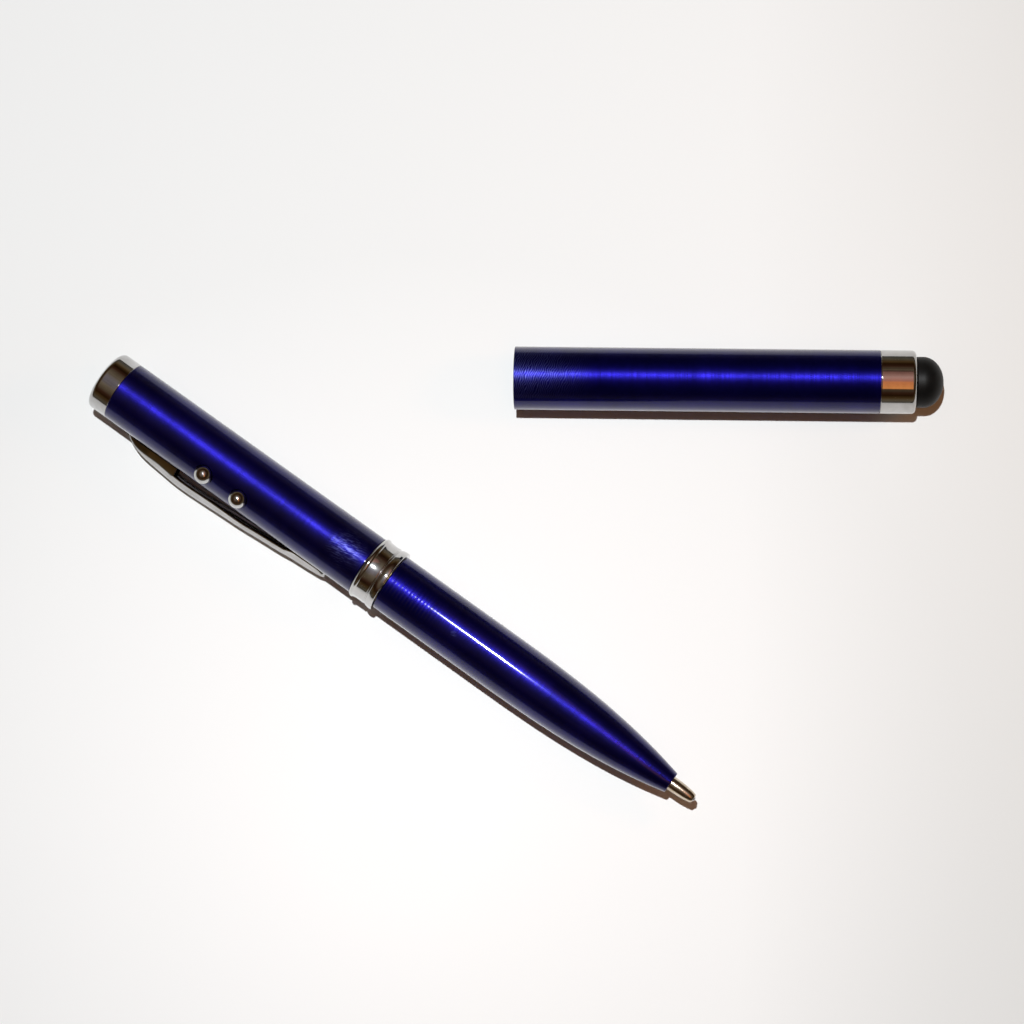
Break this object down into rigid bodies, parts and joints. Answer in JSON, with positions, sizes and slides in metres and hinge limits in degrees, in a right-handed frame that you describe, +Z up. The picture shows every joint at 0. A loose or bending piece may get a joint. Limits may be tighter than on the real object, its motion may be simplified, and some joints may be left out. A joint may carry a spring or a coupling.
{
  "type": "led light pen",
  "caption": "Metal ball pen with a lamp and a laser in its head, push buttons, spring clip, and a pull-off cap with a soft touch tip.",
  "frame": {"origin": "on the table, under the middle of the pen and its cap as they lie", "axes": "+X along the cap from its mouth to its soft tip, +Z up from the table; the pen lies turned about 35 degrees, head to -X +Y and writing tip to +X -Y"},
  "size_m": [0.1482, 0.0784, 0.0117],
  "materials": {
    "chrome": "bright plated, mirror gloss",
    "blue_lacquer": "transparent deep blue lacquer over turned metal, high gloss",
    "brass": "machined",
    "nickel": "turned nickel silver, bright",
    "steel": "satin",
    "black_plastic": "moulded, matt",
    "white_plastic": "moulded, matt",
    "circuit_board": "solder mask over glass laminate",
    "clear_lens": "clear, polished",
    "black_rubber": "soft conductive rubber, matt with a faint sheen"
  },
  "bodies": {
    "pen_body": {"head_ferrule": "chrome", "led_lamp": "clear_lens", "laser_housing": "brass", "laser_lens": "clear_lens", "laser_diode": "steel", "lamp_holder": "black_plastic", "light_switch": "steel", "laser_switch": "steel", "circuit_board": "circuit_board", "resistor": "black_plastic", "carrier_base": "white_plastic", "carrier_cover": "white_plastic", "upper_barrel": "blue_lacquer", "contact_plate": "brass", "battery_cell_1": "steel", "battery_cell_2": "steel", "battery_cell_3": "steel", "battery_sleeve": "white_plastic", "joint_sleeve": "brass", "centre_ring": "chrome"},
    "light_push": {"light_button": "chrome", "light_plunger": "black_plastic"},
    "laser_push": {"laser_button": "chrome", "laser_plunger": "black_plastic"},
    "clip_blade": {"clip": "chrome"},
    "front_guide": {"refill_holder": "white_plastic"},
    "lower_section": {"lower_barrel": "blue_lacquer", "threaded_spigot": "brass", "battery_spring": "nickel"},
    "refill": {"refill_tube": "brass", "refill_tip": "nickel"},
    "writing_ball": {"tip_ball": "steel"},
    "cap": {"cap_tube": "blue_lacquer", "cap_ferrule": "chrome", "stylus_plug": "black_plastic", "stylus_tip": "black_rubber"}
  },
  "joints": [
    {"name": "light_press", "type": "slide", "parent": "pen_body", "child": "light_push", "axis": [0.3873, 0.5614, -0.7314], "range_m": [0, 0.0004], "stiffness_N_per_m": 1500},
    {"name": "laser_press", "type": "slide", "parent": "pen_body", "child": "laser_push", "axis": [0.3873, 0.5614, -0.7314], "range_m": [0, 0.0004], "stiffness_N_per_m": 1500},
    {"name": "clip_flex", "type": "hinge", "parent": "pen_body", "child": "clip_blade", "pos_m": [-0.06685, 0.02429, 0.00304], "axis": [0.3093, 0.4483, -0.8387], "range_deg": [0, 4], "stiffness_Nm_per_rad": 1.6},
    {"name": "front_travel", "type": "slide", "parent": "pen_body", "child": "front_guide", "axis": [0.8231, -0.5678, 0], "range_m": [0, 0.004]},
    {"name": "front_turn", "type": "hinge", "parent": "front_guide", "child": "lower_section", "pos_m": [-0.02198, -0.00137, 0.00588], "axis": [0.8231, -0.5678, 0], "range_deg": [0, 1440]},
    {"name": "refill_pull", "type": "slide", "parent": "front_guide", "child": "refill", "axis": [0.8231, -0.5678, 0], "range_m": [0, 0.04]},
    {"name": "ball_roll", "type": "hinge", "parent": "refill", "child": "writing_ball", "pos_m": [0.03185, -0.0385, 0.00588], "axis": [0.5678, 0.8231, 0], "continuous": true},
    {"name": "cap_swing", "type": "hinge", "parent": "pen_body", "child": "cap", "pos_m": [-0.10768, -0.0782, 0.0055], "axis": [0, 0, 1], "range_deg": [-34.6, 0]}
  ],
  "couplings": [
    {"joint": "front_travel", "follows": "front_turn", "m_per_rad": 0.00015915}
  ]
}
